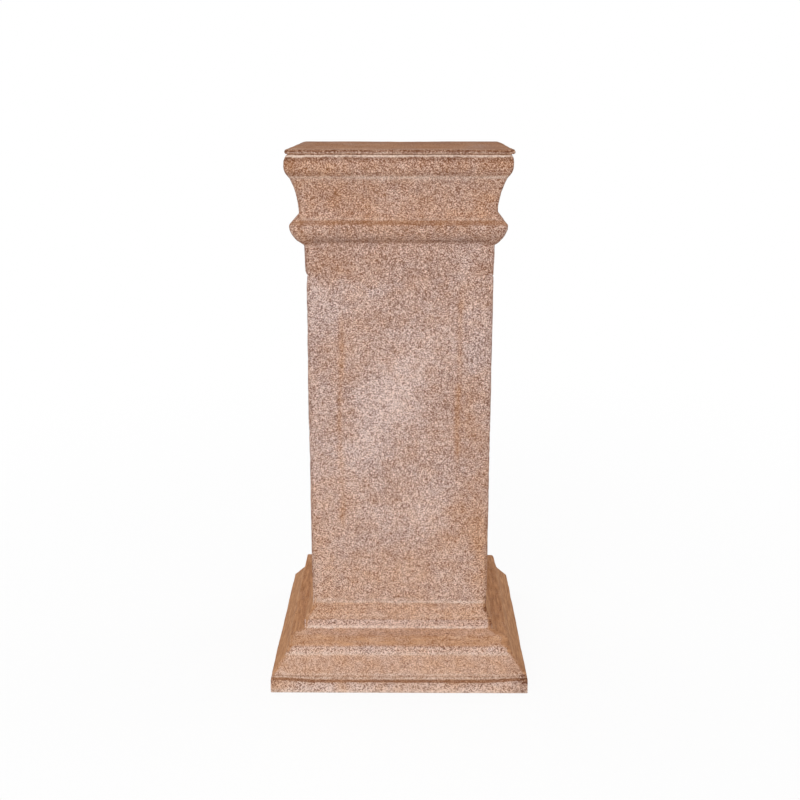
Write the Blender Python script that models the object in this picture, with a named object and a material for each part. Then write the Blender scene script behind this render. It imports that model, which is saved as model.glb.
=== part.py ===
"""A square rustic column, cast in one piece, hollow and open underneath.

Units are metres and +Z is up. The origin is the middle of the underside, and the front looks
towards -Y. The column is a moulding profile carried round a square plan: a stepped base, a plain
shaft and a moulded capital under a thin slab.
"""
import math

import bmesh
import bpy

# Overall sizes
height = 0.620
base_width = 0.300
shaft_width = 0.2065

# Base, from the floor up. A run is measured level, towards the shaft.
plinth_height = 0.0146
plinth_groove_height = 0.0021
plinth_groove_depth = 0.0022
lip_height = 0.0066
lip_setback = 0.0015
skirt_height = 0.0182
belt_height = 0.0081
belt_run = 0.0028
belt_step = 0.0014
lower_riser_height = 0.0102
lower_riser_run = 0.0004
tread_nosing = 0.0020
tread_fall = 0.0024
upper_riser_height = 0.0104
upper_riser_run = 0.0004
foot_cove_height = 0.0160
foot_cove_run = 0.0078

# The sloping skirt and the tread share what is left between the base's edge and the shaft.
skirt_share = 0.47

# Capital, from the slab down. A reach is measured level, out from the face of the shaft.
slab_height = 0.0047
slab_reach = 0.0197
slab_edge_radius = 0.0022
slab_groove_height = 0.0011
slab_groove_depth = 0.0033
ovolo_height = 0.0245
ovolo_reach = 0.0197
ovolo_swell = 0.0060
ovolo_shoulder = 0.43
ovolo_fullness = 2.15
cove_height = 0.0383
cove_root_reach = 0.0050
roll_slope_height = 0.0116
roll_height = 0.0218
roll_reach = 0.0153
roll_fullness = 2.5
neck_height = 0.0350
neck_reach = 0.0014

# Arrises at the corners of the square plan
arris_radius = 0.0030
arris_steps = 3

# Hollow
wall = 0.020
cavity_draft = 0.003
top_thickness = 0.022
foot_rim = 0.038
foot_recess_height = 0.040

# How finely the curved mouldings are cut
curve_steps = 7

# Finish
cast_colour = (0.49, 0.335, 0.262, 1.0)
cast_roughness = 0.9

base_half = base_width / 2
shaft_half = shaft_width / 2


def clear_scene():
    """Remove every object, so that the script gives the same model wherever it runs."""
    for thing in list(bpy.data.objects):
        bpy.data.objects.remove(thing, do_unlink=True)


def shares(steps):
    """Even shares from 0 to 1, both ends included."""
    return [step / steps for step in range(steps + 1)]


def base_profile():
    """Outer points of the base, as (half width, height), from the floor up to the shaft."""
    fixed_runs = lip_setback + belt_run + belt_step + lower_riser_run + upper_riser_run + foot_cove_run
    free_run = base_half - shaft_half - fixed_runs
    skirt_run = free_run * skirt_share
    tread_run = free_run - skirt_run

    half = base_half
    level = 0.0
    points = [(half, level)]

    def go(run, rise):
        nonlocal half, level
        half -= run
        level += rise
        points.append((half, level))

    go(0.0, plinth_height)
    go(plinth_groove_depth, 0.0)
    go(0.0, plinth_groove_height)
    go(lip_setback - plinth_groove_depth, 0.0)
    go(0.0, lip_height)
    go(skirt_run, skirt_height)
    go(belt_run, belt_height)
    go(belt_step, 0.0)
    go(lower_riser_run, lower_riser_height)
    go(tread_nosing * 0.3, tread_nosing * 0.7)
    go(tread_nosing * 0.7, tread_nosing * 0.3)
    go(tread_run - tread_nosing, tread_fall)
    go(upper_riser_run, upper_riser_height)

    foot, foot_level = half, level
    for share in shares(curve_steps)[1:]:
        points.append((foot - foot_cove_run * math.sin(share * math.pi / 2), foot_level + foot_cove_height * share))
    return points


def capital_profile():
    """Outer points of the neck and the capital, as (half width, height), from the shaft up."""
    slab_bottom = height - slab_height
    ovolo_top = slab_bottom - slab_groove_height
    ovolo_bottom = ovolo_top - ovolo_height
    cove_bottom = ovolo_bottom - cove_height
    roll_top = cove_bottom - roll_slope_height
    roll_bottom = roll_top - roll_height
    neck_bottom = roll_bottom - neck_height

    neck = shaft_half + neck_reach
    roll = shaft_half + roll_reach
    cove_root = shaft_half + cove_root_reach
    cove_lip = shaft_half + ovolo_reach - ovolo_swell
    slab = shaft_half + slab_reach

    points = [(shaft_half, neck_bottom - neck_reach), (neck, neck_bottom)]

    # The roll swells out from the neck to a sharp upper edge, and slopes back in above it.
    for share in shares(curve_steps):
        swell = 1 - (1 - share) ** roll_fullness
        points.append((neck + (roll - neck) * swell, roll_bottom + roll_height * share))

    # The cove starts upright and leans out as it rises.
    for share in shares(curve_steps):
        points.append((cove_root + (cove_lip - cove_root) * share ** 2, cove_bottom + cove_height * share))

    # The ovolo swells out to its widest level, and above it rounds in to the groove under the slab.
    widest = ovolo_top - ovolo_height * ovolo_shoulder
    for share in shares(curve_steps)[1:]:
        swell = 1 - (1 - share) ** ovolo_fullness
        points.append((cove_lip + ovolo_swell * swell, ovolo_bottom + (widest - ovolo_bottom) * share))
    groove = slab - slab_groove_depth
    swell_above = cove_lip + ovolo_swell - groove
    for share in shares(curve_steps)[1:]:
        turn = share * math.pi / 2
        points.append((groove + swell_above * math.cos(turn), widest + (ovolo_top - widest) * math.sin(turn)))

    points.append((groove, slab_bottom))
    points.append((slab - slab_edge_radius * 0.3, slab_bottom))
    points.append((slab, slab_bottom + slab_edge_radius * 0.7))
    points.append((slab, height - slab_edge_radius))
    points.append((slab - slab_edge_radius * 0.3, height - slab_edge_radius * 0.3))
    points.append((slab - slab_edge_radius, height))
    return points


def cavity_profile():
    """Points of the hollow inside, as (half width, height), from the ceiling down to the floor."""
    foot = base_half - foot_rim
    waist = shaft_half - wall
    return [
        (waist - cavity_draft, height - top_thickness),
        (waist, foot_recess_height),
        (foot, foot_recess_height),
        (foot, 0.0),
    ]


def ring(mesh, half, level, radius):
    """One square ring of vertices with rounded corners, counter-clockwise as seen from above."""
    corner = half - radius
    verts = []
    for quarter, (side_x, side_y) in enumerate(((1, 1), (-1, 1), (-1, -1), (1, -1))):
        for step in range(arris_steps + 1):
            turn = math.pi / 2 * (quarter + step / arris_steps)
            x = side_x * corner + radius * math.cos(turn)
            y = side_y * corner + radius * math.sin(turn)
            verts.append(mesh.verts.new((x, y, level)))
    return verts


def join_rings(mesh, lower, upper):
    """Quads between one ring and the next along the profile."""
    count = len(lower)
    for index in range(count):
        after = (index + 1) % count
        mesh.faces.new((lower[index], lower[after], upper[after], upper[index]))


def column_mesh():
    """The whole casting: up the outside, over the top, and down inside the hollow."""
    mesh = bmesh.new()
    outside = base_profile() + capital_profile()
    outer_rings = [ring(mesh, half, level, arris_radius) for half, level in outside]
    inner_rings = [ring(mesh, half, level, arris_radius) for half, level in cavity_profile()]
    for chain in (outer_rings, inner_rings):
        for lower, upper in zip(chain, chain[1:]):
            join_rings(mesh, lower, upper)
    mesh.faces.new(outer_rings[-1])
    mesh.faces.new(list(reversed(inner_rings[0])))
    join_rings(mesh, inner_rings[-1], outer_rings[0])
    return mesh


def cast_material():
    """Coarse terracotta-coloured cast stone under a pale wash."""
    material = bpy.data.materials.new("cast_stone")
    material.use_nodes = True
    shader = material.node_tree.nodes["Principled BSDF"]
    shader.inputs["Base Color"].default_value = cast_colour
    shader.inputs["Roughness"].default_value = cast_roughness
    shader.inputs["Metallic"].default_value = 0.0
    return material


def make_column():
    mesh = column_mesh()
    data = bpy.data.meshes.new("column")
    mesh.to_mesh(data)
    mesh.free()
    data.shade_smooth()
    data.set_sharp_from_angle(angle=math.radians(25))
    column = bpy.data.objects.new("column", data)
    column.data.materials.append(cast_material())
    bpy.context.scene.collection.objects.link(column)
    return column


clear_scene()
make_column()
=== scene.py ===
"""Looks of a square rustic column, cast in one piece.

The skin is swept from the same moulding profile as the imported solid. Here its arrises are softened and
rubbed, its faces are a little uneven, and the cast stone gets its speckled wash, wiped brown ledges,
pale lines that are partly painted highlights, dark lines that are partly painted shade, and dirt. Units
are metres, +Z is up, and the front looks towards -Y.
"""

import math
import random
from collections import namedtuple

import bpy
import numpy as np
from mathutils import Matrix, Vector, noise


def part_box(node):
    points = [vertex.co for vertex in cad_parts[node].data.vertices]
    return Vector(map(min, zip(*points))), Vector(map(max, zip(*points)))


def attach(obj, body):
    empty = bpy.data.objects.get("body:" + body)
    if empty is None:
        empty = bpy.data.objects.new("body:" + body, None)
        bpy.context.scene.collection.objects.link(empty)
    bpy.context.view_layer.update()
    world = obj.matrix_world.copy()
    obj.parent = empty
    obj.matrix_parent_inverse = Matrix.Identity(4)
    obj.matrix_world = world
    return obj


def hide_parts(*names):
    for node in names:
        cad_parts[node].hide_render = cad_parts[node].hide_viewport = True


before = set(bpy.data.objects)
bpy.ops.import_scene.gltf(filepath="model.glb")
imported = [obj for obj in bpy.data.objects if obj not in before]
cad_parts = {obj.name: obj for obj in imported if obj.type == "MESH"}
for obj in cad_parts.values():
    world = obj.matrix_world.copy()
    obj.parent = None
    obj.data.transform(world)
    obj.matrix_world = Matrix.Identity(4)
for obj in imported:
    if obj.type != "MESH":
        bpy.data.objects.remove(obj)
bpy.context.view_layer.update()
high_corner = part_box("column")[1]

# Overall sizes
height = high_corner.z
base_half = high_corner.x
shaft_width = 0.2065
shaft_half = shaft_width / 2

# Base, from the floor up. A run is measured level, towards the shaft.
plinth_height = 0.0146
plinth_groove_height = 0.0021
plinth_groove_depth = 0.0022
lip_height = 0.0066
lip_setback = 0.0015
skirt_height = 0.0182
belt_height = 0.0081
belt_run = 0.0028
belt_step = 0.0014
lower_riser_height = 0.0102
lower_riser_run = 0.0004
tread_nosing = 0.0020
tread_fall = 0.0024
upper_riser_height = 0.0104
upper_riser_run = 0.0004
foot_cove_height = 0.0160
foot_cove_run = 0.0078
skirt_share = 0.47

# The foot's finish ends this far up the shaft.
foot_border = 0.0035

# Capital, from the slab down. A reach is measured level, out from the face of the shaft.
slab_height = 0.0047
slab_reach = 0.0197
slab_edge_radius = 0.0022
slab_groove_height = 0.0011
slab_groove_depth = 0.0033
ovolo_height = 0.0245
ovolo_reach = 0.0197
ovolo_swell = 0.0060
ovolo_shoulder = 0.43
ovolo_fullness = 2.15
cove_height = 0.0383
cove_root_reach = 0.0050
roll_slope_height = 0.0116
roll_height = 0.0218
roll_reach = 0.0153
roll_fullness = 2.5
roll_edge_share = 0.465
neck_height = 0.0350
neck_reach = 0.0014

# Levels of the mouldings
groove_level = plinth_height + plinth_groove_height / 2
lip_top = plinth_height + plinth_groove_height + lip_height
slab_bottom = height - slab_height
ovolo_top = slab_bottom - slab_groove_height
ovolo_bottom = ovolo_top - ovolo_height
cove_bottom = ovolo_bottom - cove_height
roll_top = cove_bottom - roll_slope_height
roll_bottom = roll_top - roll_height
neck_bottom = roll_bottom - neck_height

# Hollow
wall = 0.020
cavity_draft = 0.003
top_thickness = 0.022
foot_rim = 0.038
foot_recess_height = 0.040
cavity_spacing = 0.030

# How finely the skin is cut
curve_steps = 24
sample_step = 0.0002
softening = 0.0004
flat_spacing = 0.0040
top_spacing = 0.0080
rings_per_radian = 2.2
rings_per_line = 1.2
side_steps = 80
arris_steps = 4
side_crowding = 0.35
spacing_softening = 0.0006

# Half the width of the flat patch that closes the top
top_patch_half = 0.004

# The skin's finish on each stretch of the profile: how much pale wash covers it, how orange its brown
# is, how strong the speckle is, and how far it is wiped back to bare clay along the moulding
Finish = namedtuple("Finish", "wash warmth speckle wiped")
raw_skin = Finish(0.20, 0.8, 0.35, 0.3)
plinth_skin = Finish(0.80, 0.48, 1.66, 0.0)
groove_skin = Finish(0.28, 0.90, 0.60, 0.5)
lip_skin = Finish(0.52, 0.70, 0.60, 0.1)
skirt_skin = Finish(0.58, 0.72, 0.57, 0.1)
belt_skin = Finish(0.67, 0.43, 1.12, 0.0)
lower_riser_skin = Finish(0.56, 0.92, 0.90, 0.60)
nosing_skin = Finish(0.46, 0.95, 0.90, 0.55)
tread_skin = Finish(0.94, 0.76, 1.25, 0.31)
upper_riser_skin = Finish(0.73, 0.38, 1.50, 0.0)
foot_cove_skin = Finish(0.56, 0.76, 0.86, 0.14)
shaft_skin = Finish(0.41, 0.25, 0.95, 0.0)
neck_skin = Finish(0.33, 0.36, 0.90, 0.0)
roll_skin = Finish(0.26, 0.58, 0.98, 0.0)
roll_edge_skin = Finish(0.04, 0.85, 0.85, 0.25)
roll_slope_skin = Finish(0.28, 0.70, 1.10, 0.0)
cove_skin = Finish(0.265, 0.64, 0.97, 0.0)
# Painted light: the paler band round the crease between the cove and the ovolo
lit_cove_lip_skin = Finish(0.37, 0.60, 0.97, 0.0)
# Painted shade: the ovolo's lower part, which faces down under its swell, gets less wash
shaded_ovolo_foot_skin = Finish(0.16, 0.80, 0.95, 0.0)
ovolo_skin = Finish(0.23, 0.72, 1.00, 0.0)
slab_skin = Finish(0.12, 0.85, 1.10, 0.2)
top_skin = Finish(0.10, 0.90, 0.60, 0.35)

# Where the paler lip, painted light round the crease, starts on the cove's curve and ends on the ovolo's,
# and where the ovolo's darker foot, painted shade under its swell, ends, as shares of their heights
cove_lip_start = 0.88
cove_lip_end = 0.20
shaded_ovolo_foot_end = 0.48

# Colours, as an 8-bit display shows them
pale_pink = (238, 213, 203)
pale_tan = (228, 186, 156)
deep_pink = (125, 92, 81)
deep_tan = (141, 93, 64)
dark_clay = (138, 88, 54)
pale_clay = (212, 162, 122)
dark_grain = (96, 64, 50)
# Dirt, and painted shade in creases and under overhangs
grime_and_shade_brown = (106, 64, 44)
# Worn pale lines, and painted highlights
worn_and_highlight_cream = (244, 222, 206)

# Sizes of the skin's grain and clouds, measured across one blotch
coarse_grain = 0.0017
fine_grain = 0.0011
sand_grain = 0.00074
chip_grain = 0.0011
dot_grain = fine_grain * 1.3
fleck_grain = 0.0022
cloud_size = 0.014
streak_size = 0.026
streak_narrowing = 8.0

# How much each of them shows in the colour
coarse_share = 0.45
grain_lift = 0.25
sand_lift = 2.2
cloud_warmth = 0.9
streak_rub = 1.2
fleck_gain = 3.0

# The fine relief and the gloss of the skin
relief_strength = 0.3
relief_depth = 0.0010
skin_roughness = 0.92
skin_gloss = 0.04

# Lumps of noise that make the faces uneven, chip the arrises, and bend the borders of the patches
Lumps = namedtuple("Lumps", "depth size seed")
face_lumps = (
    Lumps(depth=0.00045, size=0.110, seed=1),
    Lumps(depth=0.00022, size=0.030, seed=2),
    Lumps(depth=0.00010, size=0.009, seed=3),
)
chip_lumps = (Lumps(depth=0.6, size=0.013, seed=4), Lumps(depth=0.4, size=0.005, seed=5))
border_lumps = (Lumps(depth=0.010, size=0.030, seed=41), Lumps(depth=0.012, size=0.030, seed=42))

# How worn, untrue and dirty the casting is
arris_wear = 0.0009
arris_wear_reach = 0.003
chip_threshold = 0.1
lip_wear = 0.00040
lip_sharpness = 0.0012
panel_half = 0.067
panel_line_reach = 0.0032
panel_depth = 0.00050
panel_wash_loss = 0.16
panel_warmth = 0.55
crisp_step_fade = 0.008
further_step_fade = 0.026
groove_climb = 0.0034
groove_dip = 0.0014
roll_droop = 0.0015
moulding_sag = 0.00035
wiping_softness = 0.0018
wiped_wash = 0.45
mitre_dirt_reach = 0.0022

# Pairs of a level and a value there. The upright corners are crisp round the plinth and the slab, and
# softer on the shaft.
corner_radii = (
    (0.0, 0.0012), (0.020, 0.0016), (0.095, 0.0024), (height - 0.030, 0.0024), (height, 0.0016),
)

# The shaft narrows a little towards its foot, by what is added to its half width.
shaft_taper = ((0.075, 0.0), (0.095, -0.00045), (0.470, 0.00035), (0.485, 0.0))

# The casting is a little askew, by how far it stands to the right.
askew = (
    (0.058, 0.0), (0.066, -0.0012), (0.078, -0.0012), (0.095, 0.0002), (0.360, 0.0002),
    (0.480, 0.0010), (0.508, 0.0005), (0.530, -0.0003), (0.560, -0.0008), (0.595, -0.0008),
    (0.606, -0.0005), (0.6140, -0.0003), (0.6155, 0.0005),
)

# Floor, lamps and camera, with angles in degrees, and the lens and the sensor in millimetres
floor_reach = 1.8
floor_sink = 0.0005
floor_fade_start = 0.25
floor_cover = 0.10
floor_white = 0.95
room_light = 0.62
key_watts = 34.0
fill_watts = 16.0
camera_place = (0.0100, -1.3958, 0.6724)
camera_tilt = 75.625
camera_turn = 0.41
focal_length = 52.95
sensor_width = 36.0


class Outline:
    """A profile drawn point by point as (half width, level), with the finish of each stretch.

    A mark is a pale or a dark line that runs along the moulding, close beside one of the points.
    """

    def __init__(self, half, level):
        self.points = [(half, level)]
        self.finishes = []
        self.marks = []
        self.fades = []

    def to(self, half, level, finish):
        self.points.append((half, level))
        self.finishes.append(finish)

    def by(self, run, rise, finish):
        half, level = self.points[-1]
        self.to(half - run, level + rise, finish)

    def fade(self, width):
        """The finish below the last point gives way to the next one over this width."""
        self.fades.append((len(self.points) - 1, width))

    def mark(self, kind, width, strength, beyond):
        self.marks.append((len(self.points) - 1, kind, width, strength, beyond))


def shares(steps):
    """Even shares from 0 to 1, both ends included."""
    return [step / steps for step in range(steps + 1)]


def draw_base(outline):
    """The base, from the floor up to the shaft."""
    fixed_runs = lip_setback + belt_run + belt_step + lower_riser_run + upper_riser_run + foot_cove_run
    free_run = base_half - shaft_half - fixed_runs
    skirt_run = free_run * skirt_share
    tread_run = free_run - skirt_run

    outline.mark("pale", width=0.0050, strength=0.36, beyond=0.0016)
    outline.by(0.0, plinth_height, plinth_skin)
    groove_middle = plinth_groove_depth + plinth_groove_height / 2
    # Dirt and painted shade in the plinth's groove under the lip, then a soft painted shade just below
    # the groove
    outline.mark("dark", width=0.0034, strength=0.46, beyond=groove_middle)
    outline.mark("dark", width=0.0060, strength=0.18, beyond=-0.0006)
    outline.by(plinth_groove_depth, 0.0, groove_skin)
    outline.by(0.0, plinth_groove_height, groove_skin)
    outline.by(lip_setback - plinth_groove_depth, 0.0, groove_skin)
    outline.mark("pale", width=0.0014, strength=0.36, beyond=lip_height * 0.30)
    outline.mark("dark", width=0.0020, strength=0.40, beyond=lip_height * 0.56)
    outline.by(0.0, lip_height, lip_skin)
    outline.mark("pale", width=0.0024, strength=0.24, beyond=-0.0004)
    outline.by(skirt_run, skirt_height, skirt_skin)
    outline.mark("pale", width=0.0030, strength=0.30, beyond=-0.0004)
    outline.by(belt_run, belt_height, belt_skin)
    outline.mark("dark", width=0.0014, strength=0.12, beyond=0.0002)
    outline.by(belt_step, 0.0, belt_skin)
    outline.fade(0.0050)
    outline.by(lower_riser_run, lower_riser_height, lower_riser_skin)
    outline.by(tread_nosing * 0.3, tread_nosing * 0.7, nosing_skin)
    outline.by(tread_nosing * 0.7, tread_nosing * 0.3, nosing_skin)
    outline.fade(0.0060)
    outline.by(tread_run - tread_nosing, tread_fall, tread_skin)
    outline.mark("pale", width=0.0032, strength=0.66, beyond=0.0012)
    outline.by(upper_riser_run, upper_riser_height, upper_riser_skin)
    outline.mark("dark", width=0.0024, strength=0.24, beyond=0.0004)
    outline.mark("pale", width=0.0040, strength=0.12, beyond=0.0042)

    foot, foot_level = outline.points[-1]
    for share in shares(curve_steps)[1:]:
        sweep = foot_cove_run * math.sin(share * math.pi / 2)
        outline.to(foot - sweep, foot_level + foot_cove_height * share, foot_cove_skin)
    outline.to(shaft_half, foot_level + foot_cove_height + foot_border, foot_cove_skin)
    outline.mark("pale", width=0.0028, strength=0.46, beyond=0.0004)
    outline.fade(0.005)


def draw_neck_and_roll(outline):
    """The plain shaft, the neck, and the roll with its sharp upper edge and the slope above it."""
    neck = shaft_half + neck_reach
    roll = shaft_half + roll_reach
    cove_root = shaft_half + cove_root_reach

    outline.to(shaft_half, neck_bottom - neck_reach, shaft_skin)
    outline.to(neck, neck_bottom, shaft_skin)
    outline.fade(0.018)
    outline.to(neck, roll_bottom, neck_skin)
    # Painted shade on the underside of the roll, where it turns in to the neck
    outline.mark("dark", width=0.0042, strength=0.44, beyond=0.0046)
    for share in shares(curve_steps)[1:]:
        swell = 1 - (1 - share) ** roll_fullness
        outline.to(neck + (roll - neck) * swell, roll_bottom + roll_height * share, roll_skin)
    outline.mark("dark", width=0.0040, strength=0.22, beyond=0.0022)
    edge = roll + (cove_root - roll) * roll_edge_share
    outline.to(edge, roll_top + roll_slope_height * roll_edge_share, roll_edge_skin)
    outline.mark("pale", width=0.0022, strength=0.22, beyond=0.0002)
    outline.fade(0.0014)
    outline.to(cove_root, cove_bottom, roll_slope_skin)


def draw_cove_and_ovolo(outline):
    """The cove, which starts upright and leans out, and the ovolo that swells out above it."""
    cove_root = shaft_half + cove_root_reach
    cove_lip = shaft_half + ovolo_reach - ovolo_swell
    for share in shares(curve_steps)[1:]:
        skin = lit_cove_lip_skin if share > cove_lip_start else cove_skin
        lean = (cove_lip - cove_root) * share ** 2
        outline.to(cove_root + lean, cove_bottom + cove_height * share, skin)
    # A painted pale line just above the crease, and painted shade on the ovolo's foot above it
    outline.mark("pale", width=0.0050, strength=0.34, beyond=0.0016)
    outline.mark("dark", width=0.0036, strength=0.28, beyond=0.0058)

    widest = ovolo_top - ovolo_height * ovolo_shoulder
    for share in shares(curve_steps)[1:]:
        swell = 1 - (1 - share) ** ovolo_fullness
        lower_skin = lit_cove_lip_skin if share < cove_lip_end else shaded_ovolo_foot_skin
        skin = lower_skin if share < shaded_ovolo_foot_end else ovolo_skin
        outline.to(cove_lip + ovolo_swell * swell, ovolo_bottom + (widest - ovolo_bottom) * share, skin)
        if share == 0.5:
            # The ovolo's own skin also reaches down by half this width.
            outline.fade(0.006)
    groove = shaft_half + slab_reach - slab_groove_depth
    swell_above = cove_lip + ovolo_swell - groove
    for share in shares(curve_steps)[1:]:
        turn = share * math.pi / 2
        rise = (ovolo_top - widest) * math.sin(turn)
        outline.to(groove + swell_above * math.cos(turn), widest + rise, ovolo_skin)
    outline.mark("dark", width=0.0044, strength=0.64, beyond=-0.0051)
    outline.mark("pale", width=0.0025, strength=1.15, beyond=-0.0017)
    # Painted shade in the groove under the slab's edge
    outline.mark("dark", width=0.0012, strength=0.25, beyond=0.0006)


def draw_slab(outline):
    """The groove under the slab, and the slab's edge up to the top."""
    slab = shaft_half + slab_reach
    outline.to(slab - slab_groove_depth, slab_bottom, slab_skin)
    outline.to(slab - slab_edge_radius * 0.3, slab_bottom, slab_skin)
    outline.to(slab, slab_bottom + slab_edge_radius * 0.7, slab_skin)
    outline.to(slab, height - slab_edge_radius, slab_skin)
    outline.to(slab - slab_edge_radius * 0.3, height - slab_edge_radius * 0.3, slab_skin)
    outline.to(slab - slab_edge_radius, height, slab_skin)
    outline.mark("dark", width=0.0042, strength=0.82, beyond=-0.0028)
    outline.mark("pale", width=0.0016, strength=0.45, beyond=-0.0045)
    # A painted highlight along the edge of the top, which is kept at the front alone
    outline.mark("pale", width=0.0150, strength=0.24, beyond=0.0085)


def draw_outline():
    """The outside of one side, from the inner edge of the rim underneath, up and over the top."""
    outline = Outline(base_half - foot_rim, 0.0)
    outline.to(base_half, 0.0, raw_skin)
    draw_base(outline)
    draw_neck_and_roll(outline)
    draw_cove_and_ovolo(outline)
    draw_slab(outline)
    outline.to(top_patch_half, height, top_skin)
    return outline


def blur(values, reach):
    """Smooth an evenly sampled line over a reach in metres, holding its two ends."""
    spread = reach / sample_step
    span = int(spread * 4)
    weights = np.exp(-0.5 * (np.arange(-span, span + 1) / spread) ** 2)
    before = 2 * values[0] - values[span:0:-1]
    after = 2 * values[-1] - values[-2:-span - 2:-1]
    return np.convolve(np.concatenate([before, values, after]), weights / weights.sum(), mode="valid")


def ease(values, start, end):
    """Smooth step from 0 at start to 1 at end."""
    share = np.clip((values - start) / (end - start), 0.0, 1.0)
    return share * share * (3 - 2 * share)


def between(values, start, full, fading, end):
    """Smooth plateau: it rises from start to full, and falls from fading to end."""
    return ease(values, start=start, end=full) * (1 - ease(values, start=fading, end=end))


def hump(values, middle, reach):
    """Smooth hump of height 1 round a middle."""
    return np.exp(-((values - middle) / reach) ** 2)


def along_height(level, pairs):
    """The values of some pairs, joined by straight lines from level to level."""
    return np.interp(level, *zip(*pairs))


def arris_radius(level, half):
    """Radius of the upright corners, which stays small near the middle of the top."""
    return np.minimum(along_height(level, corner_radii), half * 0.3)


# The pale-line mask holds worn lines and painted highlights, and the dark-line mask holds dirt and
# painted shade.
mask_names = ("wash", "warmth", "speckle", "wiped", "wear", "grime")
Skin = namedtuple("Skin", ("half", "level", "out", "up", "bend") + mask_names)


def sample_outline(outline):
    """The softened profile at a fine even step, with its outward direction, its bend and its finish."""
    points = np.array(outline.points)
    stretches = np.hypot(*np.diff(points, axis=0).T)
    reached = np.concatenate([[0.0], np.cumsum(stretches)])
    places = np.arange(0.0, reached[-1], sample_step)
    half = blur(np.interp(places, reached, points[:, 0]), softening)
    level = blur(np.interp(places, reached, points[:, 1]), softening)
    direction = np.unwrap(np.arctan2(np.gradient(level), np.gradient(half)))
    bend = np.gradient(direction, sample_step)

    stretch_of = np.clip(np.searchsorted(reached, places, side="right") - 1, 0, len(outline.finishes) - 1)
    finish = np.array(outline.finishes)[stretch_of]
    for index, width in outline.fades:
        turned = ease(places, start=reached[index] - width / 2, end=reached[index] + width / 2)[:, None]
        mixed = (1 - turned) * outline.finishes[index - 1] + turned * outline.finishes[index]
        near = np.abs(places - reached[index]) < width / 2
        finish[near] = mixed[near]
    finish = [blur(values, softening) for values in finish.T]
    lines = {"pale": np.zeros(len(places)), "dark": np.zeros(len(places))}
    for index, kind, width, strength, beyond in outline.marks:
        line = strength * np.exp(-((places - reached[index] - beyond) / (width / 2)) ** 2)
        lines[kind] = np.maximum(lines[kind], line)
    return places, Skin(half, level, np.sin(direction), -np.cos(direction), bend, *finish, lines["pale"],
                        lines["dark"])


def ring_places(places, skin):
    """Where the rings of the mesh go along the profile: close together at bends and marks."""
    on_top = (skin.level > height - 0.0005) & (skin.half < skin.half.max() - 0.03)
    underneath = skin.level < 0.0002
    spacing = np.where(on_top | underneath, top_spacing, flat_spacing)
    edge_of_mark = np.abs(np.gradient(np.maximum(skin.wear, skin.grime), sample_step))
    density = 1 / spacing + np.abs(skin.bend) * rings_per_radian + edge_of_mark * rings_per_line
    density = blur(density, spacing_softening)
    counted = np.cumsum(density) * sample_step
    rings = int(counted[-1])
    return np.interp(np.linspace(counted[0], counted[-1], rings), counted, places)


class Sides:
    """Where each vertex of a ring lies: its side, its place along it, and its outward turn."""

    def __init__(self):
        straight = side_steps - arris_steps
        even = np.linspace(-1, 1, straight + 1)
        crowded = even + side_crowding * np.sin(np.pi * even) / np.pi
        rows = []
        for side in range(4):
            facing = math.pi / 2 * (side - 1)
            rows += [(side, facing, along, facing) for along in crowded]
            for step in range(1, arris_steps):
                rows.append((side, facing, 1.0, facing + math.pi / 2 * step / arris_steps))
        self.side, facing, self.along, self.turn = np.array(rows).T
        self.x = np.cos(facing) - np.sin(facing) * self.along
        self.y = np.sin(facing) + np.cos(facing) * self.along


# Each seed shifts the noise by this much, and the gain brings it to between about -1 and 1.
seed_shift = (3.7, 1.3, 2.9)
noise_gain = 1.6


def wobble(points, size, seed):
    """Smooth noise between about -1 and 1 at each point, with lumps of that size."""
    shift = Vector([seed * part for part in seed_shift])
    values = [noise.noise(Vector(place) + shift) for place in (points.reshape(-1, 3) / size).tolist()]
    return np.array(values).reshape(points.shape[:-1]) * noise_gain


# A patch has a place on one side, a size and a lean. Its strength goes to the wash.
Patch = namedtuple("Patch", "side across level width length lean strength warmth")
front, right, back, left = 0, 1, 2, 3


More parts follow.
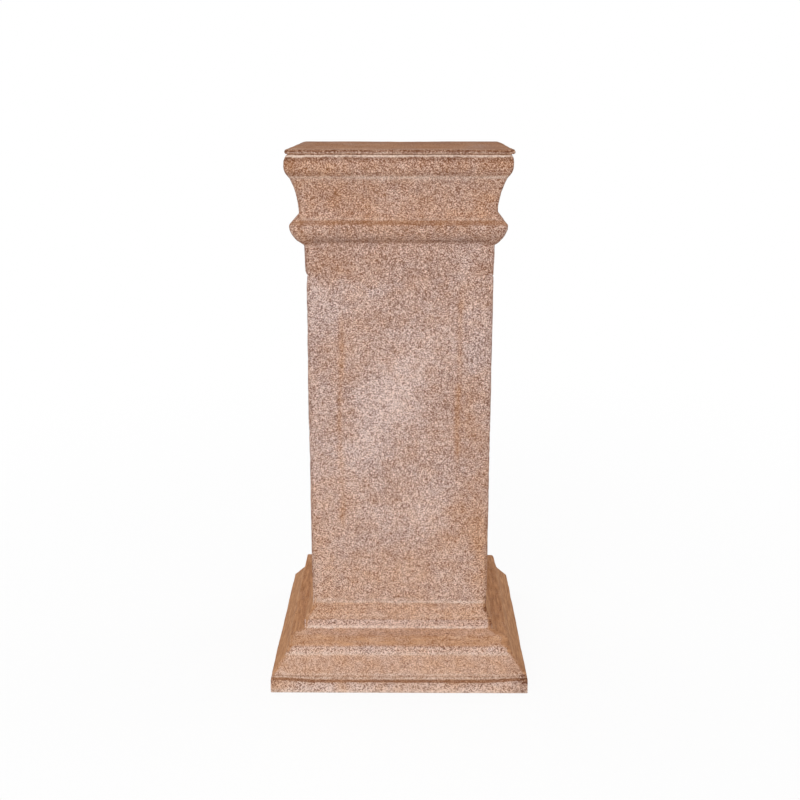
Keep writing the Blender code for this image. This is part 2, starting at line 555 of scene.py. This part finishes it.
def front_patches():
    """The worn pale and the bare brown places on the front of the shaft, from the top down."""
    return [
        Patch(front, -0.080, 0.490, 0.045, 0.018, 0.0, -0.10, 0.05),
        Patch(front, 0.045, 0.468, 0.045, 0.022, 0.0, -0.13, 0.10),
        Patch(front, -0.082, 0.448, 0.018, 0.026, 0.0, 0.10, -0.25),
        Patch(front, -0.035, 0.458, 0.014, 0.014, 0.0, 0.09, -0.25),
        Patch(front, 0.086, 0.402, 0.016, 0.032, 0.0, 0.06, -0.30),
        Patch(front, -0.020, 0.428, 0.030, 0.020, 0.0, -0.07, 0.10),
        Patch(front, 0.008, 0.395, 0.024, 0.018, 0.0, 0.08, 0.00),
        Patch(front, -0.066, 0.372, 0.016, 0.042, 0.0, -0.12, 0.15),
        Patch(front, -0.005, 0.350, 0.026, 0.042, 0.25, 0.38, -0.15),
        Patch(front, 0.078, 0.320, 0.016, 0.050, 0.0, -0.20, 0.35),
        Patch(front, 0.045, 0.330, 0.018, 0.035, 0.0, -0.08, 0.10),
        Patch(front, -0.038, 0.292, 0.024, 0.022, 0.5, 0.34, -0.10),
        Patch(front, -0.055, 0.262, 0.020, 0.020, 0.0, 0.12, 0.00),
        Patch(front, -0.098, 0.350, 0.008, 0.060, 0.0, 0.08, -0.10),
        Patch(front, 0.030, 0.205, 0.030, 0.018, -0.3, 0.24, 0.00),
        Patch(front, 0.078, 0.205, 0.022, 0.026, 0.0, -0.18, 0.35),
        Patch(front, -0.093, 0.215, 0.014, 0.040, 0.0, 0.10, 0.10),
        Patch(front, -0.020, 0.225, 0.030, 0.016, 0.0, -0.10, 0.20),
        Patch(front, 0.065, 0.175, 0.016, 0.015, 0.0, -0.08, 0.20),
        Patch(front, 0.096, 0.155, 0.012, 0.045, 0.0, -0.14, 0.50),
        Patch(front, 0.096, 0.250, 0.010, 0.050, 0.0, -0.04, 0.30),
        Patch(front, -0.090, 0.150, 0.020, 0.040, 0.0, 0.12, 0.10),
        Patch(front, 0.000, 0.150, 0.022, 0.014, 0.0, -0.08, 0.15),
        Patch(front, 0.020, 0.125, 0.080, 0.012, 0.0, 0.10, 0.10),
    ]


def capital_patches():
    """Patches of the same kind on the front of the neck, the roll and the capital."""
    return [
        Patch(front, -0.080, 0.500, 0.035, 0.030, 0.0, -0.05, 0.15),
        Patch(front, 0.080, 0.500, 0.018, 0.014, 0.3, 0.12, -0.20),
        Patch(front, -0.088, 0.547, 0.030, 0.006, 0.0, 0.20, -0.15),
        Patch(front, 0.055, 0.547, 0.035, 0.005, 0.0, 0.12, 0.00),
        Patch(front, -0.070, 0.578, 0.020, 0.009, 0.0, -0.12, 0.20),
        Patch(front, -0.005, 0.566, 0.016, 0.010, 0.0, 0.10, -0.10),
        Patch(front, 0.100, 0.562, 0.014, 0.018, 0.0, -0.08, 0.15),
        Patch(front, -0.094, 0.602, 0.016, 0.006, 0.0, 0.10, 0.10),
        Patch(front, -0.118, 0.603, 0.010, 0.012, 0.0, -0.20, 0.30),
        Patch(front, 0.118, 0.604, 0.012, 0.012, 0.0, -0.18, 0.20),
        Patch(front, -0.110, 0.526, 0.014, 0.012, 0.0, 0.14, 0.20),
        Patch(front, 0.070, 0.526, 0.030, 0.008, 0.0, 0.10, -0.10),
    ]


def other_patches():
    """Patches of the same kind, scattered over the three other sides."""
    draw = random.Random(7)
    patches = []
    for side in (right, back, left):
        for index in range(14):
            strength = draw.uniform(0.06, 0.16) * (1 if index % 2 else -1)
            place = (draw.uniform(-0.09, 0.09), draw.uniform(0.11, 0.49))
            size = (draw.uniform(0.014, 0.034), draw.uniform(0.016, 0.045))
            lean = draw.uniform(-0.4, 0.4)
            patches.append(Patch(side, *place, *size, lean, strength, -0.8 * strength))
    return patches


class Field:
    """Where each vertex lies on the column, before any relief.

    Across is measured along a side from its middle, to the right as seen from outside. Reach is how far
    the straight part of the side runs from there, up to where the arris starts.
    """

    def __init__(self, reached, skin):
        sides = Sides()
        self.reached = reached[:, None]
        self.half, self.level, self.out, self.up, self.bend = [values[:, None] for values in skin[:5]]
        half = self.half + along_height(self.level, shaft_taper)
        radius = arris_radius(self.level, half)
        self.reach = half - radius
        out_x = np.cos(sides.turn)
        out_y = np.sin(sides.turn)
        self.x = self.reach * sides.x + radius * out_x
        self.y = self.reach * sides.y + radius * out_y
        shape = self.x.shape
        self.places = np.stack([self.x, self.y, np.broadcast_to(self.level, shape)], axis=2)
        up = np.broadcast_to(self.up, shape)
        self.outward = np.stack([self.out * out_x, self.out * out_y, up], axis=2)
        self.across = self.reach * sides.along
        self.to_arris = self.reach - np.abs(self.across)
        self.side = np.broadcast_to(sides.side, shape)
        self.on_front = self.side == front
        self.upright = ease(self.out, start=0.15, end=0.50)
        self.on_plinth = 1 - ease(self.level, start=plinth_height - 0.001, end=plinth_height + 0.001)
        self.on_top = ease(self.level, start=height - 0.0006, end=height - 0.0002)

    def wobble(self, size, seed, stretch=(1.0, 1.0, 1.0)):
        return wobble(self.places * stretch, size, seed)

    def uneven(self, usual, swing, size, seed):
        """A factor between 0 and 1 that swings about its usual value."""
        return np.clip(usual + swing * self.wobble(size, seed), 0.0, 1.0)

    def lumps(self, kinds):
        return sum(kind.depth * self.wobble(kind.size, kind.seed) for kind in kinds)


def worn_faces(field):
    """Slow unevenness of the faces, then the rubbed and chipped arrises, as a push outwards."""
    push = field.lumps(face_lumps)
    near_arris = hump(field.to_arris, middle=0.0, reach=arris_wear_reach) * field.upright
    near_arris = near_arris * ease(field.level, start=0.001, end=0.010)
    chipped = np.clip(field.lumps(chip_lumps) - chip_threshold, 0.0, 1.0)
    push = push - arris_wear * near_arris * chipped
    sharp = np.clip(field.bend * lip_sharpness, 0.0, 1.0)
    return push - lip_wear * sharp * field.uneven(usual=0.0, swing=1.0, size=0.012, seed=6)


def faded_step(field):
    """What is missing of the neck's step, which is crisp only at the left corners and at one place on
    the right of the front."""
    at_corner = hump(field.to_arris, middle=0.0, reach=0.010) * (field.x < 0)
    at_right = field.on_front * hump(field.across, middle=0.052, reach=0.024)
    missing = np.clip(1 - (at_corner + 0.7 * at_right), 0.0, 1.0)
    fade = crisp_step_fade + further_step_fade * missing
    step_bottom = neck_bottom - neck_reach
    above = field.level > step_bottom
    return above * neck_reach * (1 - ease(field.level, start=step_bottom, end=step_bottom + fade))


def panel_lines(field):
    """Two faint upright hollows that bound a shallow panel on each side of the shaft."""
    on_left = field.across < 0
    low_end = np.where(on_left, 0.19, 0.27)
    high_end = np.where(on_left, 0.455, 0.47)
    begun = ease(field.level, start=low_end - 0.02, end=low_end + 0.02)
    ended = ease(field.level, start=high_end - 0.03, end=high_end + 0.01)
    on_shaft = begun * (1 - ended)
    from_middle = np.abs(field.across + 0.002 * field.wobble(size=0.06, seed=37))
    broken = 0.75 + 0.35 * field.wobble(size=0.045, seed=8)
    return hump(from_middle, middle=panel_half, reach=panel_line_reach) * on_shaft * broken


def settling(field):
    """How far each vertex is raised: the plinth's groove climbs towards the corners, the mouldings sag
    here and there, and the underside of the roll hangs lower at the corners than between them."""
    climb = groove_climb * (1 - ease(field.to_arris, start=0.0, end=0.055)) - groove_dip
    climb = climb * np.interp(field.level, (0.0, groove_level, lip_top), (0, 1, 0))
    sag = moulding_sag * field.wobble(size=0.060, seed=9, stretch=(1.0, 1.0, 0.3))
    sag = sag * between(field.level, start=0.004, full=0.02, fading=height - 0.012, end=height - 0.002)
    at_roll = hump(field.level, middle=roll_bottom + 0.001, reach=0.006)
    hanging = 1.6 * hump(field.to_arris, middle=0.0, reach=0.010) - 0.5
    return climb + sag - roll_droop * at_roll * hanging


def moved_places(field, panel):
    """The vertices with all of the relief, kept inside the box of the solid."""
    push = worn_faces(field) - faded_step(field) - panel_depth * panel
    free = ease(field.level, start=0.0002, end=0.004) * ease(field.half, start=0.01, end=0.05)
    moved = field.places + field.outward * (push * free)[:, :, None]
    moved[:, :, 0] += along_height(field.level, askew)
    moved[:, :, 2] += settling(field)
    return np.clip(moved, (-base_half, -base_half, 0.0), (base_half, base_half, height))


class Masks:
    """The finish and the marks at each vertex, with borders that wander a little."""

    def __init__(self, field, fine_places, fine_skin):
        near_foot = hump(field.level, middle=0.095, reach=0.010)
        wander = 0.0005 * field.wobble(size=0.006, seed=20)
        wander = wander + 0.0012 * field.wobble(size=0.030, seed=27) * near_foot
        for name in mask_names:
            read = np.interp(field.reached + wander, fine_places, getattr(fine_skin, name))
            setattr(self, name, read)

    def darken(self, darkness):
        """The dark-line mask, which holds dirt and painted shade, is at least this strong here."""
        self.grime = np.maximum(self.grime, darkness)


def wipe_base_sides(masks, field):
    """On the base's left and right the ledges are wiped, up to a ragged border on the front mitres. On
    the right the border bulges towards the front at the height of the lower riser and the tread."""
    at_right = field.side == right
    at_left = field.side == left
    border = np.select([field.on_front, at_right, at_left],
                       [field.to_arris, -field.reach - field.across, field.across - field.reach], 1.0)
    ragged = wiping_softness * field.wobble(size=0.006, seed=28) - 0.0010
    ragged = ragged - 0.0062 * hump(field.level, middle=0.057, reach=0.011) * (field.x > 0)
    wiping = 1 - ease(border + ragged, start=-wiping_softness, end=wiping_softness)
    wiping = wiping * between(field.level, start=0.016, full=0.020, fading=0.088, end=0.104)
    wiping = wiping * np.where(field.on_front, 1.0, ease(field.up, start=0.10, end=0.24))
    masks.wiped = np.maximum(masks.wiped, 1.25 * wiping)
    masks.wash += wiping * (wiped_wash - masks.wash)
    masks.warmth += wiping * (1 - masks.warmth)
    masks.wear *= 1 - 0.85 * wiping


def patch_sums(field):
    """Sums of the soft patches on each side, in wash and in warmth, with edges bent by noise."""
    bend_across, bend_up = [field.lumps([kind]) for kind in border_lumps]
    paler = np.zeros(field.across.shape)
    warmer = np.zeros(field.across.shape)
    for patch in front_patches() + capital_patches() + other_patches():
        up = field.level + bend_up - patch.level
        aside = field.across + bend_across - patch.across - up * patch.lean
        shape = np.exp(-(aside / patch.width) ** 2 - (up / patch.length) ** 2)
        shape = shape * (field.side == patch.side)
        paler += patch.strength * shape
        warmer += patch.warmth * shape
    return paler, warmer


def weather_faces(masks, field, panel):
    """Patches and slow clouds in the wash, warm panel lines, and a warmer foot of the shaft."""
    paler, warmer = patch_sums(field)
    clouds = 0.07 * field.wobble(size=0.045, seed=21) + 0.05 * field.wobble(size=0.016, seed=22)
    masks.wash += (0.85 * paler + clouds) * ease(masks.speckle, start=0.2, end=0.9)
    masks.wash -= panel_wash_loss * panel
    masks.warmth += warmer
    masks.warmth += 0.12 * field.wobble(size=0.060, seed=23)
    masks.warmth += panel_warmth * panel
    masks.wash += 0.06 * hump(field.level, middle=0.190, reach=0.070)
    masks.warmth += 0.30 * between(field.level, start=0.090, full=0.100, fading=0.100, end=0.260)
    masks.wash += 0.09 * between(field.level, start=0.090, full=0.098, fading=0.110, end=0.160)


def blotch_plinth_and_riser(masks, field):
    """Blotches on the plinth, which is warmer at its left corner, and on the lower riser."""
    at_left_corner = hump(field.across, middle=-base_half, reach=0.012) * field.on_front
    hue = 0.20 * field.wobble(size=0.014, seed=31) + 0.5 * at_left_corner
    masks.wash += field.on_plinth * 0.09 * field.wobble(size=0.007, seed=30)
    masks.warmth += field.on_plinth * hue
    on_riser = between(field.level, start=lip_top + 0.025, full=lip_top + 0.028, fading=0.062, end=0.066)
    flat = (1.0, 1.0, 2.0)
    masks.wiped += on_riser * 0.25 * field.wobble(size=0.014, seed=32, stretch=flat)
    masks.wash += on_riser * 0.34 * field.wobble(size=0.008, seed=38, stretch=flat)


def blotch_top(masks, field):
    """Blotches on the top, drawn out from front to back, and darker towards the back."""
    drawn_out = (1.0, 0.5, 1.0)
    large = field.wobble(size=0.040, seed=33, stretch=drawn_out)
    small = field.wobble(size=0.014, seed=34)
    masks.wash += field.on_top * (0.22 * large + 0.14 * small)
    masks.wash -= field.on_top * 0.16 * ease(field.y, start=0.0, end=0.09)
    masks.warmth += field.on_top * 0.4 * field.wobble(size=0.030, seed=35, stretch=drawn_out)


def vary_lines(masks, field):
    """The pale and dark lines swell and fade along the mouldings. On the top the pale line, a painted
    highlight, keeps its strength at the front alone, and the dark line in the plinth's groove fades at
    the corners."""
    masks.wear *= 0.95 + 0.35 * field.wobble(size=0.035, seed=24)
    behind = ease(field.y + 0.006 * field.wobble(size=0.020, seed=45), start=-0.106, end=-0.094)
    masks.wear *= 1 - 0.75 * field.on_top * behind
    masks.grime *= 0.95 + 0.3 * field.wobble(size=0.030, seed=25)
    at_corner = hump(field.to_arris, middle=0.0, reach=0.028)
    masks.grime *= 1 - 0.6 * at_corner * hump(field.level, middle=groove_level, reach=0.006)


def shade_arrises(masks, field):
    """A thin dark line along the upright arrises of the shaft and the capital: painted shade where the
    faces turn away.
    """
    edge = hump(field.to_arris, middle=0.0, reach=0.0009) * field.upright
    edge = edge * ease(field.level, start=0.104, end=0.116)
    masks.darken(0.30 * edge * field.uneven(usual=0.8, swing=0.5, size=0.020, seed=36))


def soil_right_mitre(masks, field):
    """Crusted dirt along the right mitre of the base's front, thicker from the tread up."""
    beside = hump(field.across, middle=-field.reach, reach=mitre_dirt_reach)
    before = field.on_front * hump(field.across, middle=field.reach, reach=mitre_dirt_reach)
    crust = np.where(field.side == right, beside, before)
    crust = crust * between(field.level, start=0.016, full=0.030, fading=0.092, end=0.110)
    crust = crust * (0.30 + 0.70 * ease(field.level, start=0.064, end=0.070))
    masks.darken(0.9 * crust * field.uneven(usual=0.55, swing=1.1, size=0.005, seed=26))


def soil_plinth_corners(masks, field):
    """Dirt on the plinth's right corner, and a touch of it on the left one."""
    before = field.on_front * ease(field.across, start=field.reach - 0.024, end=field.reach)
    beyond_corner = ease(field.across, start=-field.reach, end=0.020 - field.reach)
    spoilt = before + (field.side == right) * (1 - beyond_corner)
    spoilt = spoilt * (1 - ease(field.level, start=0.022, end=0.034))
    spoilt = spoilt * field.uneven(usual=0.55, swing=0.8, size=0.007, seed=29)
    at_left_corner = field.on_front * hump(field.across, middle=-field.reach, reach=0.008)
    masks.darken(spoilt + 0.35 * at_left_corner * field.on_plinth)


def soil_neck_and_roll(masks, field):
    """A slanting dark wrinkle at the right of the neck, and a smudge under the roll."""
    slanted = field.across + 0.36 * (field.level - 0.501)
    wrinkle = field.on_front * hump(slanted, middle=0.0935, reach=0.0020)
    masks.darken(0.45 * wrinkle * hump(field.level, middle=0.492, reach=0.010))
    smudge = field.on_front * hump(field.across, middle=0.070, reach=0.010)
    masks.darken(0.45 * smudge * hump(field.level, middle=roll_bottom + 0.0015, reach=0.0035))


def surface(outline):
    """Vertex places of every ring, the skin's masks there, and its lay: across and up the skin."""
    fine_places, fine_skin = sample_outline(outline)
    reached = ring_places(fine_places, fine_skin)
    field = Field(reached, [np.interp(reached, fine_places, values) for values in fine_skin])
    panel = panel_lines(field)
    masks = Masks(field, fine_places, fine_skin)
    wipe_base_sides(masks, field)
    weather_faces(masks, field, panel)
    blotch_plinth_and_riser(masks, field)
    blotch_top(masks, field)
    vary_lines(masks, field)
    shade_arrises(masks, field)
    soil_right_mitre(masks, field)
    soil_plinth_corners(masks, field)
    soil_neck_and_roll(masks, field)

    shape = field.across.shape
    along_skin = field.across + field.side * 2 * base_half
    lay = np.stack([along_skin, np.broadcast_to(field.reached, shape), np.zeros(shape)], axis=2)
    return moved_places(field, panel), masks, lay


def cavity_rings():
    """Rings of the hollow inside, from the ceiling down to the rim underneath, as plain places."""
    sides = Sides()
    foot = base_half - foot_rim
    waist = shaft_half - wall
    profile = [
        (foot, foot_recess_height),
        (waist, foot_recess_height),
        (waist - cavity_draft, height - top_thickness),
    ]
    cut = []
    for (near, low), (far, high) in zip([(foot, 0.0)] + profile, profile):
        pieces = max(2, int(math.hypot(far - near, high - low) / cavity_spacing))
        cut += [(near + (far - near) * share, low + (high - low) * share) for share in shares(pieces)[1:]]
    rings = []
    for half, level in cut:
        radius = arris_radius(0.1, half)
        rings.append(np.stack([(half - radius) * sides.x + radius * np.cos(sides.turn),
                               (half - radius) * sides.y + radius * np.sin(sides.turn),
                               np.full(len(sides.turn), level)], axis=1))
    return np.array(rings)[::-1]


def store(data, name, kind, values):
    """Keep a value, or a place, for each vertex of a mesh."""
    key = "vector" if kind == "FLOAT_VECTOR" else "value"
    data.attributes.new(name, kind, "POINT").data.foreach_set(key, values.ravel().astype(np.float32))


def make_column():
    """One closed mesh: the skin outside and the plain hollow inside."""
    outside, masks, lay = surface(draw_outline())
    inside = cavity_rings()
    raw = {**raw_skin._asdict(), "wear": 0.0, "grime": 0.1}

    rings = np.concatenate([inside, outside])
    count, around = rings.shape[:2]
    index = np.arange(count * around).reshape(count, around)
    low, high = index[:-1], index[1:]
    quads = np.stack([low, np.roll(low, -1, axis=1), np.roll(high, -1, axis=1), high], axis=2)
    faces = [tuple(quad) for quad in quads.reshape(-1, 4).tolist()]
    faces.append(tuple(index[-1].tolist()))
    faces.append(tuple(reversed(index[0].tolist())))

    data = bpy.data.meshes.new("column_skin")
    data.from_pydata(rings.reshape(-1, 3).tolist(), [], faces)
    data.shade_smooth()
    for name in mask_names:
        plain = np.full(inside.shape[:2], raw[name])
        store(data, name, "FLOAT", np.concatenate([plain, getattr(masks, name)]))
    plain = np.concatenate([inside[:, :, :1], inside[:, :, 2:], inside[:, :, 1:2]], axis=2)
    store(data, "lay", "FLOAT_VECTOR", np.concatenate([plain, lay]))
    column = bpy.data.objects.new("column_skin", data)
    bpy.context.scene.collection.objects.link(column)
    return column


class Graph:
    """Short forms for the nodes of a material."""

    def __init__(self, material):
        material.use_nodes = True
        self.tree = material.node_tree
        self.shader = self.tree.nodes["Principled BSDF"]

    def node(self, kind, inputs, **settings):
        made = self.tree.nodes.new(kind)
        for name, value in settings.items():
            setattr(made, name, value)
        for name, value in inputs.items():
            if isinstance(value, bpy.types.NodeSocket):
                self.tree.links.new(value, made.inputs[name])
            else:
                made.inputs[name].default_value = value
        return made

    def attribute(self, name):
        return self.node("ShaderNodeAttribute", {}, attribute_name=name)

    def noise(self, place, size, detail=1.0, roughness=0.5):
        """Noise whose blotches are about that size, in metres."""
        inputs = {"Vector": place, "Scale": 1 / size, "Detail": detail, "Roughness": roughness}
        return self.node("ShaderNodeTexNoise", inputs).outputs["Fac"]

    def grains(self, place, size):
        """Grains of about that size, each with its own value between 0 and 1."""
        cells = self.node("ShaderNodeTexVoronoi", {"Vector": place, "Scale": 1 / size}).outputs["Color"]
        return self.node("ShaderNodeSeparateColor", {"Color": cells}).outputs["Red"]

    def math(self, operation, first, second, clamp=False):
        made = self.node("ShaderNodeMath", {0: first, 1: second}, operation=operation, use_clamp=clamp)
        return made.outputs[0]

    def swing(self, value, gain):
        """How far a value between 0 and 1 is from the middle, times a gain."""
        return self.math("MULTIPLY", self.math("SUBTRACT", value, 0.5), gain)

    def span(self, value, low, high, to_low=0.0, to_high=1.0):
        """The value eased from one span to another."""
        inputs = {"Value": value, "From Min": low, "From Max": high, "To Min": to_low, "To Max": to_high}
        return self.node("ShaderNodeMapRange", inputs, interpolation_type="SMOOTHSTEP").outputs["Result"]

    def blend(self, amount, first, second):
        inputs = {0: amount, 6: first, 7: second}
        return self.node("ShaderNodeMix", inputs, data_type="RGBA", clamp_factor=True).outputs[2]


def shown(colour):
    """A colour as an 8-bit display shows it, in the light values that the shader reads."""
    steps = [value / 255 for value in colour]
    light = [step / 12.92 if step <= 0.04045 else ((step + 0.055) / 1.055) ** 2.4 for step in steps]
    return (*light, 1.0)


def cast_stone():
    """Coarse cast stone: warm brown grains under a broken pale wash, with dirt and painted shade in the
    creases, and pale lines that are partly painted highlights.
    """
    material = bpy.data.materials.new("cast_stone")
    graph = Graph(material)
    place = graph.node("ShaderNodeTexCoord", {}).outputs["Object"]
    wash, warmth, speckle, wiped, wear, grime = [
        graph.attribute(name).outputs["Fac"] for name in mask_names]
    lay = graph.attribute("lay").outputs["Vector"]

    # Grains of several sizes, with coarser chips where the speckle is strongest
    coarse = graph.noise(place, coarse_grain, detail=1.0, roughness=0.6)
    fine = graph.noise(place, fine_grain, detail=0.5, roughness=0.6)
    grain = graph.math("ADD", graph.math("MULTIPLY", coarse, coarse_share),
                       graph.math("MULTIPLY", fine, 1 - coarse_share))
    sand = graph.grains(place, sand_grain)
    chips = graph.math("SUBTRACT", graph.grains(place, chip_grain), sand)
    sand = graph.math("ADD", sand, graph.math("MULTIPLY", chips, graph.span(speckle, 1.2, 2.0)))

    # The wash covers the grains that stand out, and its hue drifts in soft clouds.
    lift = graph.math("ADD", graph.swing(grain, grain_lift), graph.swing(sand, sand_lift))
    cover = graph.math("ADD", wash, graph.math("MULTIPLY", lift, speckle), clamp=True)
    clouds = graph.noise(place, cloud_size, detail=2.0, roughness=0.6)
    hue = graph.math("ADD", warmth, graph.swing(clouds, cloud_warmth), clamp=True)
    pale = graph.blend(hue, shown(pale_pink), shown(pale_tan))
    deep = graph.blend(hue, shown(deep_pink), shown(deep_tan))
    colour = graph.blend(cover, deep, pale)

    # Where it is wiped, bare clay shows in streaks along the moulding.
    drawn = graph.node("ShaderNodeMapping", {"Vector": lay, "Scale": (1.0, streak_narrowing, 1.0)})
    streaks = graph.noise(drawn.outputs["Vector"], streak_size, detail=3.0, roughness=0.65)
    rub = graph.math("ADD", 0.75, graph.swing(streaks, streak_rub))
    clay = graph.blend(graph.span(streaks, 0.16, 0.84), shown(dark_clay), shown(pale_clay))
    colour = graph.blend(graph.math("MULTIPLY", wiped, rub, clamp=True), colour, clay)

    # Dark dots, then the pale lines (wear and painted highlights) and the dark ones (dirt and painted
    # shade), both broken up by flecks and sand
    dots = graph.span(graph.noise(place, dot_grain, detail=0.0), 0.72, 0.84)
    colour = graph.blend(graph.math("MULTIPLY", dots, speckle), colour, shown(dark_grain))
    flecks = graph.noise(place, fleck_grain, detail=2.0, roughness=0.7)
    broken = graph.math("ADD", graph.math("MULTIPLY", flecks, fleck_gain),
                        graph.math("SUBTRACT", sand, 1.0))
    colour = graph.blend(graph.math("MULTIPLY", wear, broken, clamp=True), colour, shown(worn_and_highlight_cream))
    # How strongly the dirt and the painted shade show through the flecks and sand
    dark_breakup = graph.math("SUBTRACT", 2.0, broken)
    colour = graph.blend(graph.math("MULTIPLY", grime, dark_breakup, clamp=True), colour, shown(grime_and_shade_brown))
    graph.tree.links.new(colour, graph.shader.inputs["Base Color"])

    wiped_relief = graph.math("MULTIPLY", streaks, graph.math("MULTIPLY", wiped, 0.4))
    relief = graph.math("ADD", graph.math("MULTIPLY", grain, speckle), wiped_relief)
    bump = graph.node("ShaderNodeBump", {"Height": relief, "Strength": relief_strength,
                                         "Distance": relief_depth})
    graph.tree.links.new(bump.outputs["Normal"], graph.shader.inputs["Normal"])
    graph.shader.inputs["Roughness"].default_value = skin_roughness
    graph.shader.inputs["Specular IOR Level"].default_value = skin_gloss
    graph.shader.inputs["Metallic"].default_value = 0.0
    return material


def make_floor():
    """A plain pale floor that fades out into the white room."""
    bpy.ops.mesh.primitive_circle_add(
        vertices=96, radius=floor_reach, fill_type="NGON", location=(0, 0, -floor_sink))
    floor = bpy.context.object
    floor.name = "floor"
    material = bpy.data.materials.new("pale_floor")
    graph = Graph(material)
    place = graph.node("ShaderNodeTexCoord", {}).outputs["Object"]
    away = graph.node("ShaderNodeVectorMath", {0: place}, operation="LENGTH").outputs["Value"]
    cover = graph.span(away, floor_fade_start, floor_reach * 0.95, floor_cover, 0.0)
    graph.tree.links.new(cover, graph.shader.inputs["Alpha"])
    graph.shader.inputs["Base Color"].default_value = (floor_white, floor_white, floor_white, 1.0)
    graph.shader.inputs["Roughness"].default_value = 1.0
    graph.shader.inputs["Specular IOR Level"].default_value = 0.0
    floor.data.materials.append(material)


def make_lamp(name, place, size, watts):
    """A soft square lamp aimed at the middle of the column."""
    aim = Vector((0.0, 0.0, height / 2))
    data = bpy.data.lights.new(name, "AREA")
    data.size = size
    data.energy = watts
    lamp = bpy.data.objects.new(name, data)
    lamp.location = place
    lamp.rotation_euler = (aim - Vector(place)).to_track_quat("-Z", "Y").to_euler()
    bpy.context.scene.collection.objects.link(lamp)


def light_scene():
    """A white room, a soft lamp before the front and a little to the left, and two weaker ones behind."""
    world = bpy.data.worlds.new("white_room")
    world.use_nodes = True
    nodes = world.node_tree.nodes
    background = nodes["Background"]
    background.inputs["Color"].default_value = (1.0, 1.0, 1.0, 1.0)
    seen = nodes.new("ShaderNodeLightPath").outputs["Is Camera Ray"]
    strength = nodes.new("ShaderNodeMapRange")
    strength.inputs["To Min"].default_value = room_light
    strength.inputs["To Max"].default_value = 1.0
    world.node_tree.links.new(seen, strength.inputs["Value"])
    world.node_tree.links.new(strength.outputs["Result"], background.inputs["Strength"])
    bpy.context.scene.world = world
    make_lamp("key", place=(-0.6, -2.5, 1.35), size=1.5, watts=key_watts)
    make_lamp("fill_right", place=(2.4, 1.2, 1.3), size=1.8, watts=fill_watts)
    make_lamp("fill_left", place=(-2.0, 1.8, 1.3), size=1.8, watts=fill_watts)
    bpy.context.scene.view_settings.view_transform = "Standard"


def make_camera():
    """The camera looks a little down at the front, from just above the column's top."""
    data = bpy.data.cameras.new("camera")
    data.sensor_width = sensor_width
    data.lens = focal_length
    data.clip_start = 0.01
    camera = bpy.data.objects.new("camera", data)
    camera.location = camera_place
    camera.rotation_euler = (math.radians(camera_tilt), 0.0, math.radians(camera_turn))
    bpy.context.scene.collection.objects.link(camera)
    bpy.context.scene.camera = camera


make_camera()
light_scene()
make_floor()
column = make_column()
column.data.materials.append(cast_stone())
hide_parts("column")
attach(column, "root")
